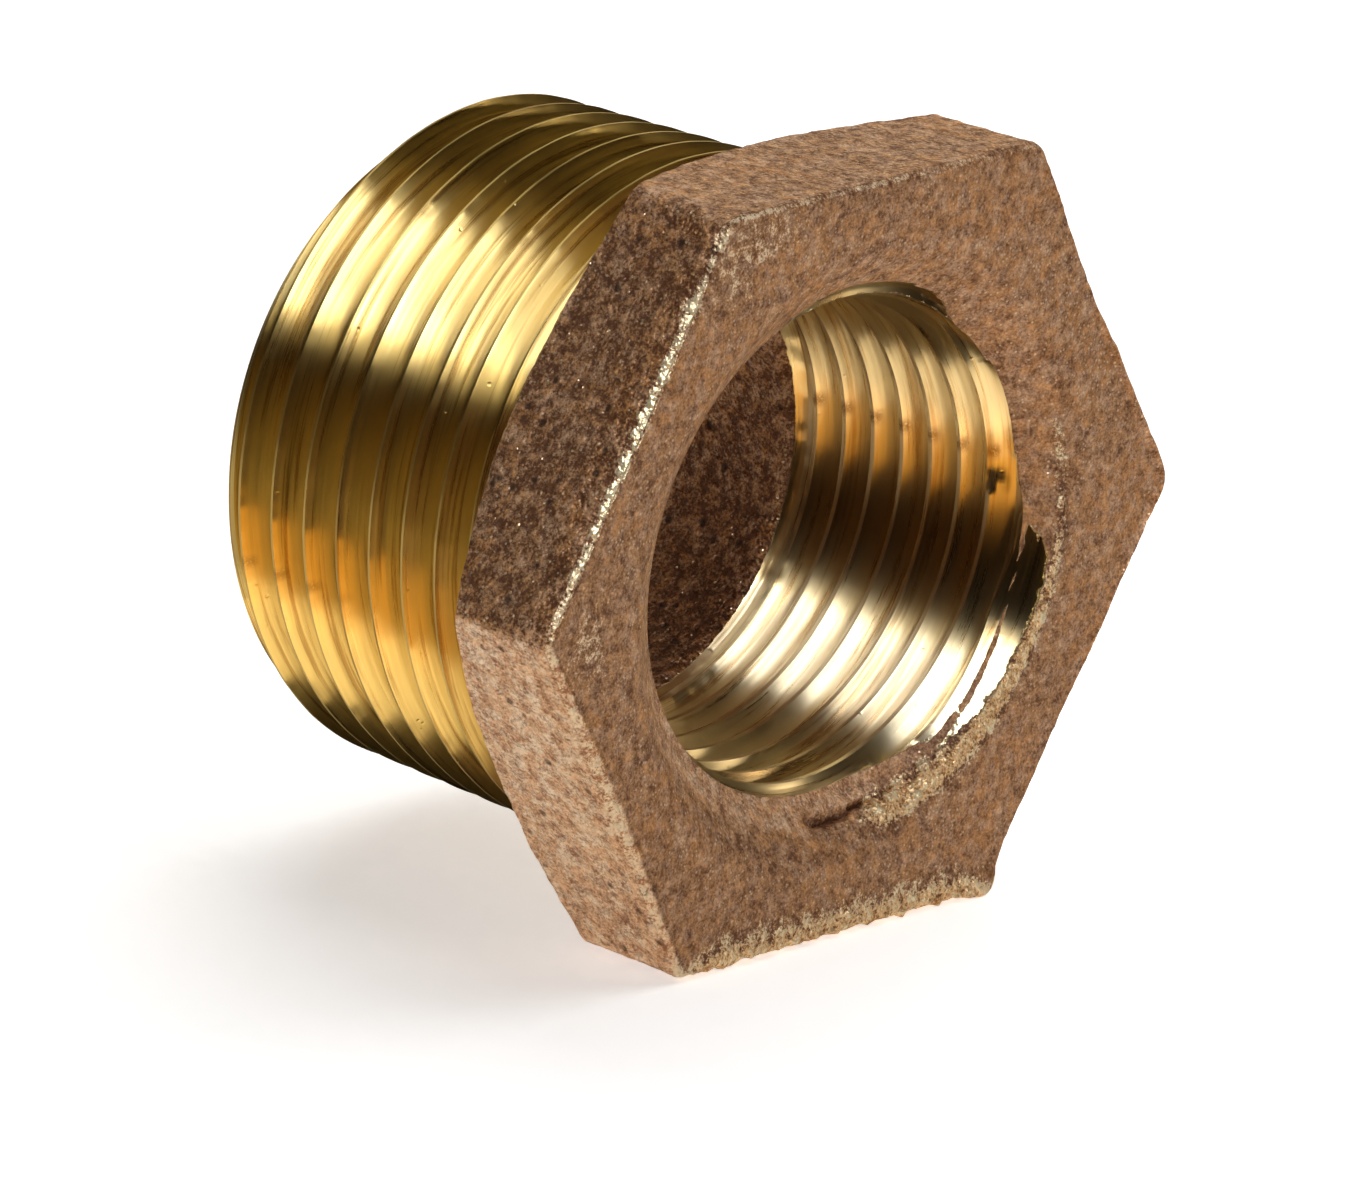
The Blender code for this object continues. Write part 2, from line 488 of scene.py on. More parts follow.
def point_normals(points, triangles):
    """The area-weighted normal of every point."""
    a, b, c = (points[triangles[:, k]] for k in range(3))
    face_normals = np.cross(b - a, c - a)
    normals = np.zeros_like(points)
    for k in range(3):
        np.add.at(normals, triangles[:, k], face_normals)
    return normals / np.linalg.norm(normals, axis=1)[:, None]


def lumps(place):
    """The uneven cast surface at a place, in millimetres: slow waves, sand lumps and grain."""
    waves = noise.noise(place / 7.0) * 0.16
    sand = noise.fractal(place / 1.3, 0.8, 2.2, 3) * 0.045
    grain = noise.noise(place / 0.34) * 0.035
    return waves + sand + grain


def pits(place):
    """Small shallow holes where sand stuck to the casting, in millimetres."""
    spacing = 1.9
    distances, _ = noise.voronoi(place / spacing)
    depth = max(0.0, 0.13 - distances[0]) / 0.13
    chosen = noise.cell(place / (spacing * 3.0)) > 0.1
    return -0.14 * depth if chosen else 0.0


def edge_distance(radius, degrees, x):
    """The distance of a point from the front edge of the head, in millimetres."""
    from_flat = math.radians((degrees + 30) % 60 - 30)
    inward = HALF_FLATS - radius * math.cos(from_flat)
    return math.hypot(max(0.0, FRONT_X - x), max(0.0, inward))


def flash(place, degrees, distance):
    """The crumbly ridge that the mould's joint left along the bottom front edge, in millimetres."""
    band = window(degrees, BOTTOM, 30, 8) * math.exp(-((distance / 1.3) ** 2))
    crumbs = max(0.0, noise.noise(place / 0.5) + 0.1) * 0.3 + max(0.0, noise.noise(place / 1.2)) * 0.25
    nub = 0.55 * hump(degrees, 151, 3.0) * math.exp(-((distance / 1.1) ** 2))
    return band * crumbs + nub


def side_swelling(degrees):
    """How much the sides of the head stand out of a true hexagon, in millimetres."""
    return 0.34 * hump(degrees, 90, 12) + 0.28 * hump(degrees, 69, 9) + 0.12 * hump(degrees, 110, 10)


def rim_faintness(degrees):
    """1 at the upper end of the crumbly rim, where little of it shows, and 0 along the rest."""
    return float(smooth_step(118, 84, degrees))


def rim_share(degrees, radius):
    """Above 1 in the middle of the crumbly rim outside the chamfer, 0 at its sides and below 0 beyond."""
    low = float(smooth_step(112, 150, degrees))
    faint = rim_faintness(degrees)
    across = 1.2 - abs(radius - RIM_RADIUS + 0.3 * low - 0.3 * faint) / (RIM_BREADTH / 2 + 0.2 * low)
    return across - 0.85 * faint - 3 * (1 - window(degrees, RIM_CENTRE, RIM_HALF_WIDTH, 16))


def rim_lumps(place, degrees, radius):
    """The lumps of the crumbly rim, in millimetres."""
    share = max(0.0, rim_share(degrees, radius))
    return share * (0.03 + 0.22 * max(0.0, noise.noise(place / 0.45)))


def crack_share(place, degrees, radius):
    """1 in the crack along the bottom of the lip and 0 away from it. It is widest at its left end."""
    width = 0.1 + 0.14 * hump(degrees, 182, 5)
    middle = CRACK_RADIUS + 0.15 * noise.noise(place / 0.8)
    trench = math.exp(-(((radius - middle) / width) ** 2))
    return trench * window(degrees, CRACK_CENTRE, CRACK_HALF_WIDTH, 5)


def cast_offset(place, part, degrees, radius, distance):
    """How far a cast point moves along its normal, in millimetres."""
    offset = lumps(place) + pits(place)
    if part == SIDES:
        offset += side_swelling(degrees) + 0.05 * hump(degrees, UPPER_LEFT, 24) * noise.noise(place / 0.6)
    if part in (SIDES, FACE):
        offset += flash(place, degrees, distance)
    if part == FACE:
        offset += rim_lumps(place, degrees, radius) - 0.55 * crack_share(place, degrees, radius)
        lip = lip_radius(degrees)
        return offset * float(smooth_step(lip, lip + 0.3, radius))
    if part == CORE:
        return offset * 1.7
    if part == NECK and radius < REAR_CONE_START:
        return offset * 0.4
    return offset


def thread_offset(place, part, radius):
    """How far a thread's point moves along its normal: nicks on male crests, a torn inner female end."""
    if part == MALE_THREAD and radius > male_crest_radius(place.x) - 0.02:
        return 0.012 * noise.noise(place / 0.8) + 0.015 * noise.noise(place / 1.7)
    if part == FEMALE_THREAD and FRONT_X - place.x > FEMALE_LENGTH - 1.2:
        return 0.05 * noise.noise(place / 0.9)
    return 0.0


def roughen(skin):
    """Move the cast points and the crests along their normals. Returns points and front edge distances."""
    points = np.array(skin.points)
    normals = point_normals(points, np.array(skin.triangles))
    edges = np.full(len(points), FAR_FROM_EDGE)
    for number in range(len(points)):
        place = Vector(points[number])
        degrees = skin.degrees[number]
        radius = skin.radii[number]
        part = skin.parts[number]
        machined = skin.machined[number]
        if part in (SIDES, FACE):
            edges[number] = edge_distance(radius, degrees, place.x)
        if machined < 0:
            cast = min(1.0, -machined / 0.2)
            offset = cast * cast_offset(place, part, degrees, radius, edges[number])
        else:
            offset = thread_offset(place, part, radius)
        points[number] += normals[number] * offset
    return points, edges


def wear(part, degrees, radius, place, distance):
    """How far inside a worn area a point is, how bright the worn metal is, partly as a painted highlight, and
    how crumbly it is.
    """
    upper_left = hump(degrees, UPPER_LEFT, 28)
    lower_left = hump(degrees, LOWER_LEFT, 24)
    bottom = window(degrees, BOTTOM, 29, 8)
    top = hump(degrees, TOP, 26)
    width = 0.2 + 0.34 * upper_left + 0.45 * lower_left + 1.3 * bottom + 0.06 * top
    width += dents(degrees, 0.5, 0.4)
    # Brightest at the upper left edge, where the pale worn metal is partly a painted highlight.
    bright = 0.3 + 0.7 * upper_left + 0.25 * top + 0.5 * bottom + 0.15 * lower_left
    share = 1 - distance / width
    rim = rim_share(degrees, radius) if part == FACE else -3.0
    if rim > share:
        return rim, 0.8 - 0.4 * rim_faintness(degrees), 1.0
    rubbed = max(1 - math.hypot(place.y - y, place.z - z) / size for y, z, size in RUBBED)
    if part == FACE and 0.25 * rubbed > share:
        return 0.25 * rubbed, 0.3, 0.3
    return share, min(1.0, bright), bottom


def skin_look(part, degrees, radius, place):
    """How dark the cast skin is, from -1 to 1, partly as painted shade and light, and how coarse its grain is,
    from 0 to 1.
    """
    if part == CORE:
        return 0.7, 1.0
    if part in (NECK, SIDES):
        # Painted light: the upper left flat is darker as painted shade and the lower left flat is paler as
        # painted light.
        upper_left = window(degrees, UPPER_LEFT, 30, 4)
        lower_left = window(degrees, LOWER_LEFT, 30, 4)
        return 0.42 * upper_left - 0.5 * lower_left, 0.45 + 0.55 * upper_left + 0.35 * lower_left
    # The bottom of the lip is paler as painted light; a groove ring round the dish and the crack are darker as
    # painted shade.
    low_lip = window(degrees, 205, 46, 20)
    pale = float(smooth_step(14.2, 13.2, radius))
    groove_shade = math.exp(-(((radius - 14.7) / 0.4) ** 2))
    crack_shade = crack_share(place, degrees, radius) if part == FACE else 0.0
    darkness_and_painted_light = 0.09 + low_lip * (0.3 * groove_shade - 0.4 * pale) + 1.6 * crack_shade
    return darkness_and_painted_light, 0.12 + 0.4 * low_lip * pale


# ---------------------------------------------------------------- the mesh object
def add_attribute(mesh, name, values):
    attribute = mesh.attributes.new(name, "FLOAT", "POINT")
    attribute.data.foreach_set("value", np.asarray(values, dtype=np.float32))


def bushing_object():
    skin = bushing_skin()
    points, edges = roughen(skin)
    mesh = bpy.data.meshes.new("bushing")
    mesh.from_pydata((points * MM).tolist(), [], skin.triangles)
    mesh.update()
    mesh.shade_smooth()
    mesh.set_sharp_from_angle(angle=math.radians(38))
    places = [Vector(point) for point in skin.points]
    worn = [wear(*point) for point in zip(skin.parts, skin.degrees, skin.radii, places, edges)]
    looks = [skin_look(*point) for point in zip(skin.parts, skin.degrees, skin.radii, places)]
    shares, brightness_and_highlight, crumble = (np.array(values) for values in zip(*worn))
    darkness_and_painted_light, coarseness = (np.array(values) for values in zip(*looks))
    coarseness = np.maximum(coarseness, 0.9 * crumble * np.clip(shares + 0.4, 0.0, 1.0))
    add_attribute(mesh, "machined", skin.machined)
    add_attribute(mesh, "wear", shares)
    add_attribute(mesh, "wear_brightness_and_highlight", brightness_and_highlight)
    add_attribute(mesh, "crumble", crumble)
    add_attribute(mesh, "darkness_and_painted_light", darkness_and_painted_light)
    add_attribute(mesh, "coarseness", coarseness)
    piece = bpy.data.objects.new("bushing", mesh)
    bpy.context.scene.collection.objects.link(piece)
    return piece


# ---------------------------------------------------------------- nodes
class NodeKit:
    """Short names for the shader nodes that the materials use."""

    def __init__(self, tree):
        self.tree = tree
        self.attributes = {}
        tree.nodes.clear()

    def add(self, kind, inputs=None, **settings):
        node = self.tree.nodes.new(kind)
        for name, value in settings.items():
            setattr(node, name, value)
        for name, value in (inputs or {}).items():
            self.feed(node.inputs[name], value)
        return node

    def feed(self, socket, value):
        if isinstance(value, bpy.types.NodeSocket):
            self.tree.links.new(value, socket)
        else:
            socket.default_value = value

    def math(self, operation, *values):
        node = self.add("ShaderNodeMath", operation=operation)
        for number, value in enumerate(values):
            self.feed(node.inputs[number], value)
        return node.outputs[0]

    def plus(self, first, second):
        return self.math("ADD", first, second)

    def minus(self, first, second):
        return self.math("SUBTRACT", first, second)

    def times(self, first, second):
        return self.math("MULTIPLY", first, second)

    def larger(self, first, second):
        return self.math("MAXIMUM", first, second)

    def ramp(self, value, low, high):
        """0 at low and beyond it, 1 at high and beyond it, as smooth_step does."""
        inputs = {"Value": value, "From Min": low, "From Max": high}
        node = self.add("ShaderNodeMapRange", inputs, interpolation_type="SMOOTHSTEP")
        return node.outputs["Result"]

    def stretch(self, value, low, high, to_low, to_high):
        """to_low at low and beyond it, to_high at high and beyond it, straight between."""
        inputs = {"Value": value, "From Min": low, "From Max": high, "To Min": to_low, "To Max": to_high}
        return self.add("ShaderNodeMapRange", inputs).outputs["Result"]

    def mix(self, share, first, second):
        """Mix two numbers."""
        node = self.add("ShaderNodeMix", data_type="FLOAT")
        self.feed(node.inputs[0], share)
        self.feed(node.inputs[2], first)
        self.feed(node.inputs[3], second)
        return node.outputs[0]

    def mix_colour(self, share, first, second):
        node = self.add("ShaderNodeMix", data_type="RGBA")
        self.feed(node.inputs[0], share)
        self.feed(node.inputs[6], first)
        self.feed(node.inputs[7], second)
        return node.outputs[2]

    def noise(self, vector, scale, detail=2.0, roughness=0.5):
        inputs = {"Vector": vector, "Scale": scale, "Detail": detail, "Roughness": roughness}
        return self.add("ShaderNodeTexNoise", inputs).outputs["Fac"]

    def attribute(self, name):
        """One of the mesh's own values. It gets one node, however often it is used."""
        if name not in self.attributes:
            self.attributes[name] = self.add("ShaderNodeAttribute", attribute_name=name).outputs["Fac"]
        return self.attributes[name]

    def combine(self, x, y, z):
        return self.add("ShaderNodeCombineXYZ", {"X": x, "Y": y, "Z": z}).outputs[0]


def colour(red, green, blue):
    return (red, green, blue, 1.0)


# ---------------------------------------------------------------- the bronze
# About how many grooves of the turning tool cross one pitch of each thread.
MALE_MARKS = 16
FEMALE_MARKS = 11


def turning_marks(kit, x, angle, radius, pitch, crest_x, marks):
    """Noise drawn out along the thread's own helix: fine streaks, broad grooves and nearness to a crest.

    On the rear end face the helix becomes a spiral.
    """
    per_mm = 2 * math.pi / pitch
    phase = kit.plus(kit.times(kit.minus(x, crest_x), per_mm), angle)
    on_end = kit.times(kit.ramp(x, REAR_X + 0.2, REAR_X + 0.1), 0.6 * per_mm)
    swept = kit.plus(phase, kit.times(radius, on_end))
    across = kit.times(kit.math("COSINE", swept), marks / (2 * math.pi))
    along = kit.times(kit.math("SINE", swept), marks / (2 * math.pi))
    turn = kit.plus(kit.times(kit.math("SINE", angle), 1.6), kit.times(x, 0.8))
    vector = kit.combine(across, along, turn)
    other = kit.times(kit.math("COSINE", angle), 1.6)
    textures = []
    for scale, detail in ((1.0, 4.0), (0.5, 1.5)):
        inputs = {"Vector": vector, "W": other, "Scale": scale, "Detail": detail, "Roughness": 0.7}
        textures.append(kit.add("ShaderNodeTexNoise", inputs, noise_dimensions="4D").outputs["Fac"])
    return textures[0], textures[1], kit.ramp(kit.math("COSINE", phase), 0.1, 0.8)


def near_angle(kit, angle, degrees, half_width):
    """1 at an angle round the axis, 0 from half_width degrees away on."""
    gap = kit.math("ABSOLUTE", kit.minus(angle, math.radians(degrees)))
    return kit.ramp(gap, math.radians(half_width), 0.0)


def random_spots(kit, place, per_mm, size, share):
    """Round spots in a share of the cells of a random grid."""
    cells = kit.add("ShaderNodeTexVoronoi", {"Vector": place, "Scale": per_mm})
    chance = kit.add("ShaderNodeSeparateColor", {0: cells.outputs["Color"]}).outputs[0]
    spot = kit.ramp(cells.outputs["Distance"], size, size * 0.4)
    return kit.times(kit.ramp(chance, share + 0.03, share), spot)


def cast_skin(kit, place):
    """The colour, shine and height of the cast skin, with the two noises that it is made of."""
    fine = kit.noise(place, 6.5, 4.0, 0.75)
    grain = kit.noise(place, 1.6, 4.0, 0.68)
    blotch = kit.noise(place, 0.24, 3.0, 0.6)
    hue = kit.noise(place, 1.1, 3.0, 0.7)
    dark = kit.attribute("darkness_and_painted_light")
    coarse = kit.attribute("coarseness")
    holes = kit.times(random_spots(kit, place, 0.9, 0.26, 0.5), kit.ramp(coarse, 0.3, 1.0))
    specks_and_glints = kit.times(random_spots(kit, place, 4.2, 0.36, 0.3), kit.mix(coarse, 0.6, 1.0))

    # Each texture's contrast, on the smooth skin and on the coarse skin.
    level = kit.stretch(dark, -1.0, 1.0, 0.85, 0.1)
    for texture, on_smooth, on_coarse in ((fine, 2.1, 3.6), (grain, 1.85, 3.3), (hue, 0.0, 1.1)):
        contrast = kit.mix(coarse, on_smooth, on_coarse)
        level = kit.plus(level, kit.times(kit.minus(texture, 0.5), contrast))
    level = kit.plus(level, kit.stretch(blotch, 0.3, 0.7, -0.12, 0.12))
    patchy = kit.ramp(blotch, 0.4, 0.62)
    pinkish = kit.ramp(hue, 0.42, 0.62)
    # Where the skin has painted light, on the lower left flat and the bottom of the lip, both its light and
    # its dark colours are paler.
    painted_light_share = kit.ramp(dark, -0.1, -0.5)
    orange = kit.mix_colour(patchy, colour(0.77, 0.41, 0.18), colour(0.72, 0.35, 0.13))
    light = kit.mix_colour(pinkish, orange, colour(0.75, 0.45, 0.26))
    pale = kit.mix_colour(pinkish, colour(0.93, 0.56, 0.31), colour(1.0, 0.74, 0.50))
    light = kit.mix_colour(painted_light_share, light, pale)
    shadow = kit.mix_colour(painted_light_share, colour(0.16, 0.060, 0.022), colour(0.36, 0.15, 0.07))
    tone = kit.mix_colour(kit.stretch(level, 0.0, 1.0, 0.0, 1.0), shadow, light)
    # Bright metal specks, painted paler still as glints.
    tone = kit.mix_colour(kit.times(specks_and_glints, 0.75), tone, colour(1.0, 0.80, 0.56))
    # The holes are painted near black, as painted shade inside the pits.
    tone = kit.mix_colour(kit.times(holes, 0.85), tone, colour(0.04, 0.014, 0.006))

    sand = kit.noise(place, 4.5, 1.0, 0.5)
    stones = kit.noise(place, 1.6, 1.0, 0.5)
    height = kit.plus(kit.times(sand, 0.5), stones)
    height = kit.times(height, kit.mix(coarse, 0.10, 0.50))
    height = kit.minus(height, kit.times(holes, 0.12))
    rubbed = kit.times(kit.attribute("wear_brightness_and_highlight"), kit.ramp(kit.attribute("wear"), 0.0, 0.3))
    rubbed = kit.times(rubbed, kit.minus(1.0, kit.attribute("crumble")))
    height = kit.times(height, kit.mix(rubbed, 1.0, 0.3))
    return tone, specks_and_glints, height, fine, grain


def machined_bronze(kit, place, x, angle, radius, fine):
    """The colour, roughness and height of the machined metal.

    It is darkened in bands along the axis as painted dark reflections, and on the shelf as painted shade, and
    the tools chattered along one line of each thread.
    """
    on_male = kit.ramp(radius, 13.6, 13.8)
    male_marks, male_grooves, male_crest = turning_marks(
        kit, x, angle, radius, MALE_PITCH, MALE_CREST_AT_TOP_X, MALE_MARKS)
    female_marks, female_grooves, female_crest = turning_marks(
        kit, x, angle, radius, FEMALE_PITCH, FEMALE_CREST_AT_TOP_X, FEMALE_MARKS)
    marks = kit.mix(on_male, female_marks, male_marks)
    grooves = kit.mix(on_male, female_grooves, male_grooves)
    streaks = kit.plus(kit.times(marks, 0.6), kit.times(grooves, 0.4))
    tone = kit.mix_colour(on_male, colour(0.95, 0.84, 0.59), colour(0.95, 0.75, 0.32))
    streak_tone = kit.mix_colour(on_male, colour(0.64, 0.45, 0.23), colour(0.46, 0.28, 0.09))
    tone = kit.mix_colour(kit.times(kit.ramp(streaks, 0.50, 0.38), 0.8), tone, streak_tone)
    # Painted dark reflections: a band of each thread is darkened where it mirrors little light, and the shelf
    # is darkened as painted shade.
    female_painted_shade = kit.times(near_angle(kit, angle, 104, 26), 0.65)
    male_painted_shade = kit.times(near_angle(kit, angle, -68, 12), 0.4)
    painted_shade = kit.mix(on_male, female_painted_shade, male_painted_shade)
    shelf = kit.times(near_angle(kit, angle, 38, 46), kit.ramp(x, FRONT_X - 2.4, FRONT_X - 2.0))
    painted_shade = kit.larger(painted_shade, kit.times(shelf, 0.8))
    tone = kit.mix_colour(painted_shade, tone, colour(0.30, 0.17, 0.06))
    female_chatter = kit.times(near_angle(kit, angle, 78, 3.0), female_crest)
    male_chatter = kit.times(near_angle(kit, angle, -103, 1.8), male_crest)
    male_chatter = kit.times(male_chatter, kit.ramp(x, -3.5, -5.5))
    chatter = kit.mix(on_male, female_chatter, kit.times(male_chatter, 0.6))
    chatter = kit.times(chatter, kit.ramp(fine, 0.3, 0.5))
    tone = kit.mix_colour(kit.times(chatter, 0.8), tone, colour(0.26, 0.14, 0.05))
    roughness = kit.plus(0.21, kit.times(marks, 0.16))
    height = kit.times(grooves, 0.08)
    nicks = random_spots(kit, place, 1.0, 0.12, 0.4)
    return tone, roughness, kit.minus(height, kit.times(nicks, 0.006))


def worn_metal(kit, fine, grain):
    """Where the skin is worn off, how bright the metal is there, partly as a painted highlight, and its
    colour.

    Where the metal is crumbly it is a mix of dark grit and bright crumbs, with painted glints on the
    brightest.
    """
    crumble = kit.attribute("crumble")
    ragged_grain = kit.stretch(grain, 0.3, 0.7, -0.35, 0.35)
    ragged = kit.plus(ragged_grain, kit.stretch(fine, 0.3, 0.7, -0.35, 0.35))
    ragged = kit.times(ragged, kit.mix(crumble, 1.0, 1.5))
    worn = kit.ramp(kit.plus(kit.attribute("wear"), ragged), 0.12, 0.5)
    shine = kit.times(worn, kit.attribute("wear_brightness_and_highlight"))
    # The pale cream of bright worn metal is partly a painted highlight, most along the upper left edge.
    bright_and_highlight_tone = kit.mix_colour(crumble, colour(1.0, 0.88, 0.60), colour(1.0, 0.62, 0.28))
    tone = kit.mix_colour(shine, colour(0.88, 0.62, 0.40), bright_and_highlight_tone)
    crumbs = kit.plus(kit.times(fine, 0.5), kit.times(grain, 0.5))
    grit = kit.times(kit.ramp(crumbs, 0.51, 0.42), kit.mix(crumble, 0.15, 0.9))
    tone = kit.mix_colour(grit, tone, colour(0.42, 0.19, 0.06))
    # Painted glints: the brightest crumbs are lightened to a pale cream.
    painted_glitter = kit.times(kit.ramp(crumbs, 0.50, 0.59), crumble)
    tone = kit.mix_colour(painted_glitter, tone, colour(1.0, 0.86, 0.56))
    return worn, shine, tone


def skin_shine(kit, specks_and_glints, shine):
    """How metallic and how rough the cast skin is, with its worn spots."""
    crumble = kit.attribute("crumble")
    worn_metallic = kit.times(shine, kit.mix(crumble, 0.6, 0.15))
    coarse_metallic = kit.mix(kit.attribute("coarseness"), 0.12, kit.mix(crumble, 0.35, 0.15))
    metallic = kit.larger(kit.times(specks_and_glints, 0.6), worn_metallic)
    metallic = kit.larger(metallic, coarse_metallic)
    polish = kit.times(kit.larger(specks_and_glints, shine), kit.mix(crumble, 0.26, 0.38))
    return metallic, kit.minus(0.55, polish)


def fitting_coordinates(kit):
    """A point of the fitting in millimetres, and its x, its angle round the axis and its radius."""
    metres = kit.add("ShaderNodeTexCoord").outputs["Object"]
    inputs = {0: metres, "Scale": 1 / MM}
    place = kit.add("ShaderNodeVectorMath", inputs, operation="SCALE").outputs[0]
    axes = kit.add("ShaderNodeSeparateXYZ", {0: place}).outputs
    angle = kit.math("ARCTAN2", axes["Y"], axes["Z"])
    squares = kit.plus(kit.math("POWER", axes["Y"], 2.0), kit.math("POWER", axes["Z"], 2.0))
    return place, axes["X"], angle, kit.math("SQRT", squares)


def bronze_material():
    """Cast bronze skin and machined bronze in one material, told apart by the mesh's machined value."""
    material = bpy.data.materials.new("cast_bronze")
    material.use_nodes = True
    kit = NodeKit(material.node_tree)
    place, x, angle, radius = fitting_coordinates(kit)
    cast_tone, specks_and_glints, cast_height, fine, grain = cast_skin(kit, place)
    metal_tone, metal_roughness, metal_height = machined_bronze(kit, place, x, angle, radius, fine)
    worn, shine, worn_tone = worn_metal(kit, fine, grain)
    skin_metallic, skin_roughness = skin_shine(kit, specks_and_glints, shine)
    skin_tone = kit.mix_colour(worn, cast_tone, worn_tone)

    cut = kit.plus(kit.attribute("machined"), kit.stretch(grain, 0.3, 0.7, -0.10, 0.10))
    machined = kit.ramp(cut, -0.03, 0.05)
    height = kit.mix(machined, cast_height, metal_height)
    bump = kit.add("ShaderNodeBump", {"Height": height, "Strength": 1.0, "Distance": MM})
    tangent = kit.add("ShaderNodeTangent", direction_type="RADIAL", axis="X").outputs[0]
    shader = kit.add("ShaderNodeBsdfPrincipled", {
        "Base Color": kit.mix_colour(machined, skin_tone, metal_tone),
        "Metallic": kit.mix(machined, skin_metallic, 1.0),
        "Roughness": kit.mix(machined, skin_roughness, metal_roughness),
        "Specular IOR Level": 0.3,
        "Normal": bump.outputs[0],
        "Anisotropic": machined,
        "Anisotropic Rotation": 0.25,
        "Tangent": tangent,
    })
    kit.add("ShaderNodeOutputMaterial", {"Surface": shader.outputs[0]})
    return material


# ---------------------------------------------------------------- the studio, in metres
LIGHT_DISTANCE = 0.6
FLOOR_HALF_WIDTH = 12.0
FLOOR_GAP = 0.0002

# The camera: its lens and sensor, its sides, and where it is from the middle of the front face.
LENS = 362.66
SENSOR_WIDTH = 36.0
CAMERA_RIGHT = (0.7265, 0.6843, 0.0626)
CAMERA_BACK = (0.6375, -0.7052, 0.3104)
CAMERA_PLACE = (0.401592, -0.456998, 0.196327)


def direction(azimuth, elevation):
    """A unit vector. Azimuth is in degrees from +X towards +Y, elevation in degrees above the floor."""
    azimuth, elevation = math.radians(azimuth), math.radians(elevation)
    flat = math.cos(elevation)
    return Vector((math.cos(azimuth) * flat, math.sin(azimuth) * flat, math.sin(elevation)))


def softbox(name, azimuth, elevation, width, height, radiance, upright=(0.0, 0.0, 1.0), sees="metal",
            tint=(1.0, 1.0, 1.0)):
    """A rectangular light that faces the fitting. Its width and height are angles in degrees.

    Its height runs along the direction upright. A light for the metal is only mirrored, and a light for the
    skin only lights its colour.
    """
    light = bpy.data.lights.new(name, "AREA")
    light.shape = "RECTANGLE"
    light.size = 2 * LIGHT_DISTANCE * math.tan(math.radians(width / 2))
    light.size_y = 2 * LIGHT_DISTANCE * math.tan(math.radians(height / 2))
    light.energy = radiance * math.pi * light.size * light.size_y
    light.color = tint
    back = direction(azimuth, elevation)
    across = Vector(upright).cross(back).normalized()
    turn = Matrix((across, back.cross(across), back)).transposed().to_4x4()
    box = bpy.data.objects.new(name, light)
    box.matrix_world = Matrix.Translation(back * LIGHT_DISTANCE) @ turn
    box.visible_diffuse = sees == "skin"
    box.visible_glossy = sees == "metal"
    bpy.context.scene.collection.objects.link(box)


def towards(kit, ray, azimuth, elevation):
    """How nearly a ray points in a direction, from -1 to 1."""
    inputs = {0: ray, 1: direction(azimuth, elevation)}
    return kit.add("ShaderNodeVectorMath", inputs, operation="DOT_PRODUCT").outputs["Value"]


def studio_world():
    """A dim studio. The metal mirrors a pale floor at the left and a pale wall straight behind."""
    world = bpy.data.worlds.new("studio")
    bpy.context.scene.world = world
    world.use_nodes = True
    kit = NodeKit(world.node_tree)
    ray = kit.add("ShaderNodeTexCoord").outputs["Generated"]
    downward = kit.ramp(kit.add("ShaderNodeSeparateXYZ", {0: ray}).outputs["Z"], 0.0, -0.3)
    left_floor = kit.times(kit.ramp(towards(kit, ray, -150, -20), 0.3, 0.8), downward)
    wall = kit.ramp(towards(kit, ray, 131, 10), 0.78, 0.92)
    strength = kit.plus(0.009, kit.times(left_floor, 0.5))
    strength = kit.plus(strength, kit.times(wall, 0.7))
    background = kit.add("ShaderNodeBackground", {"Color": colour(1.0, 0.85, 0.6), "Strength": strength})
    kit.add("ShaderNodeOutputWorld", {"Surface": background.outputs[0]})


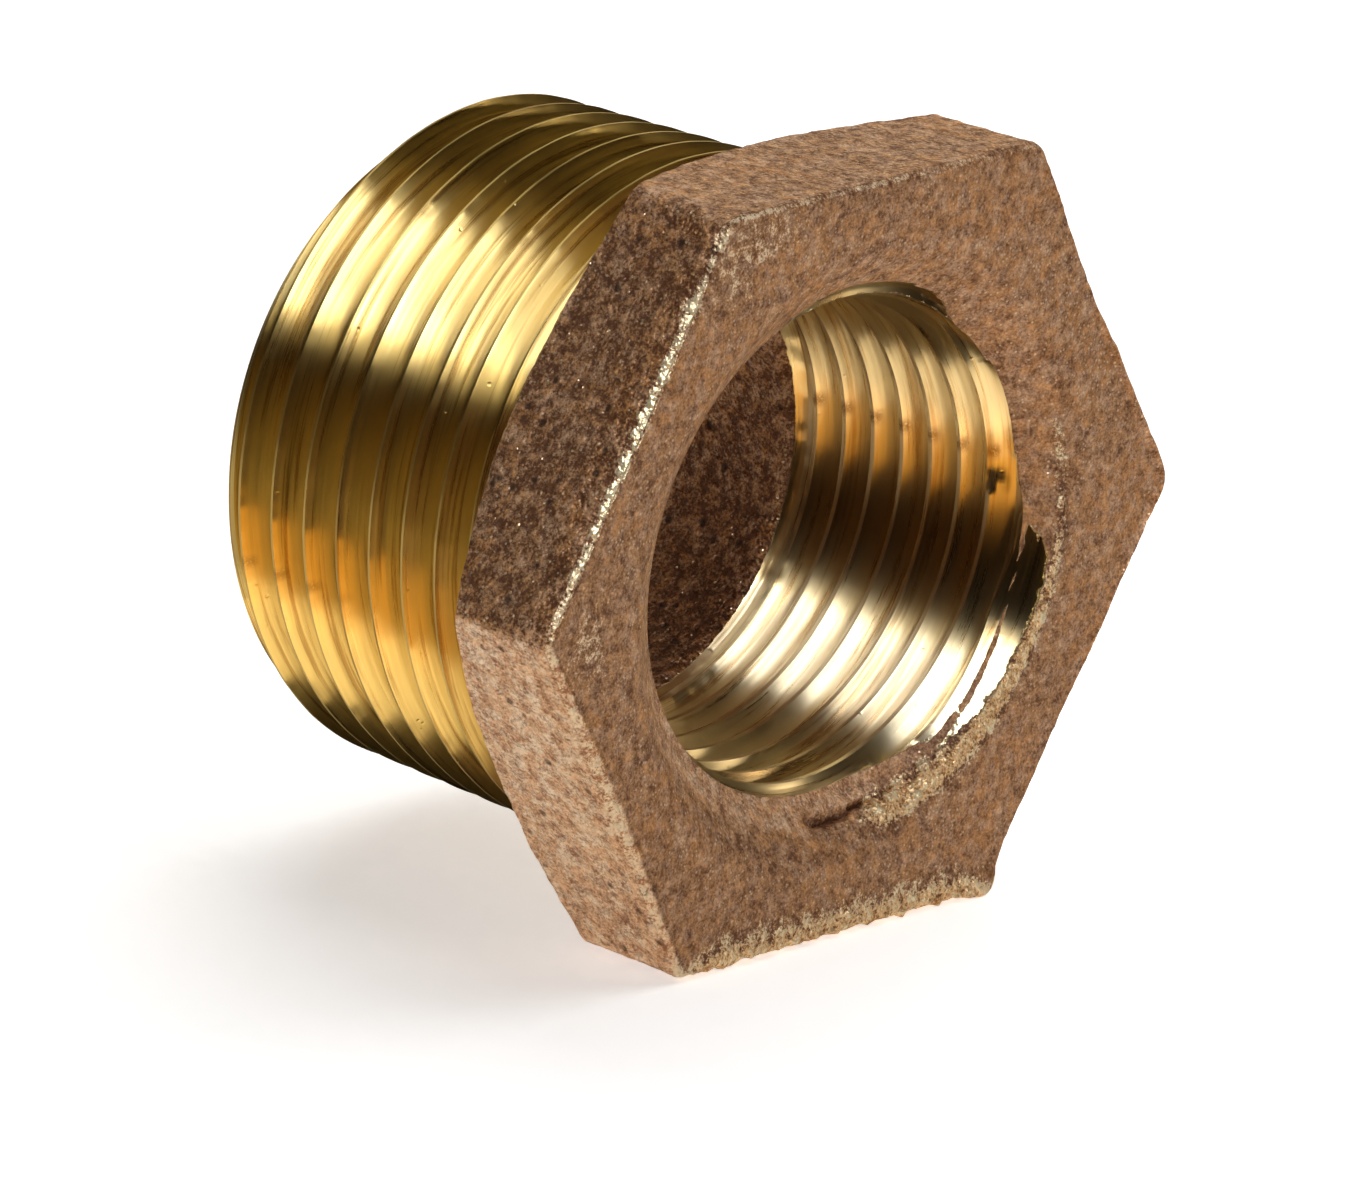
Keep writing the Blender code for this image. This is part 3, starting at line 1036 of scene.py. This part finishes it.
def studio_lights():
    softbox("key", -21, 45, 56, 32, 4.7, upright=(0.0, 0.707, 0.707))
    softbox("low_fill", -27, -53, 76, 26, 1.4, upright=(0.0, -0.423, 0.906), tint=(1.0, 0.8, 0.5))
    softbox("warm_fill", -20, -29, 60, 20, 1.1, upright=(0.0, -0.12, 0.99), tint=(1.0, 0.45, 0.06))
    softbox("side_fill", -105, 8, 50, 30, 0.2, tint=(1.0, 0.75, 0.4))
    softbox("edge_glint", -30, 31, 24, 6, 10.0, tint=(1.0, 0.88, 0.6))
    softbox("face_glint", 45, 5, 4, 4, 34.0, tint=(1.0, 0.8, 0.5))
    softbox("back_fill", -170, 52, 40, 30, 0.9, tint=(1.0, 0.85, 0.6))
    softbox("overhead", 100, 58, 70, 70, 2.1, sees="skin")


def pale_floor():
    """A wide pale floor under the fitting. The metal mirrors the low fill light in its place."""
    mesh = bpy.data.meshes.new("floor")
    half = FLOOR_HALF_WIDTH
    z = CAD_LOW[2] - FLOOR_GAP
    corners = [(-half, -half, z), (half, -half, z), (half, half, z), (-half, half, z)]
    mesh.from_pydata(corners, [], [(0, 1, 2, 3)])
    floor = bpy.data.objects.new("floor", mesh)
    bpy.context.scene.collection.objects.link(floor)
    material = bpy.data.materials.new("pale_floor")
    material.use_nodes = True
    kit = NodeKit(material.node_tree)
    coordinates = kit.add("ShaderNodeTexCoord").outputs["Object"]
    tone = kit.stretch(kit.noise(coordinates, 900.0, 2.0), 0.3, 0.7, 0.93, 0.96)
    pale = kit.combine(tone, tone, tone)
    shader = kit.add("ShaderNodeBsdfPrincipled", {
        "Base Color": pale,
        "Roughness": 0.9,
        "Specular IOR Level": 0.0,
        "Emission Color": pale,
        "Emission Strength": 0.6,
    })
    kit.add("ShaderNodeOutputMaterial", {"Surface": shader.outputs[0]})
    mesh.materials.append(material)
    floor.visible_glossy = False
    floor.visible_shadow = False


def studio_camera():
    """A long lens, a little above the fitting and in front of its mouth."""
    data = bpy.data.cameras.new("camera")
    data.sensor_width = SENSOR_WIDTH
    data.lens = LENS
    data.clip_start = 0.01
    camera = bpy.data.objects.new("camera", data)
    back = Vector(CAMERA_BACK).normalized()
    up = back.cross(Vector(CAMERA_RIGHT)).normalized()
    turn = Matrix((up.cross(back), up, back)).transposed().to_4x4()
    place = Vector(CAMERA_PLACE) + Vector((FRONT_X * MM, 0, 0))
    camera.matrix_world = Matrix.Translation(place) @ turn
    bpy.context.scene.collection.objects.link(camera)
    bpy.context.scene.camera = camera


def show_plainly():
    """Show the scene's own values, with no film curve over them."""
    bpy.context.scene.view_settings.view_transform = "Standard"


bushing = bushing_object()
bushing.data.materials.append(bronze_material())
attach(bushing, "root")
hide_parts(NODE)
studio_world()
studio_lights()
pale_floor()
studio_camera()
show_plainly()
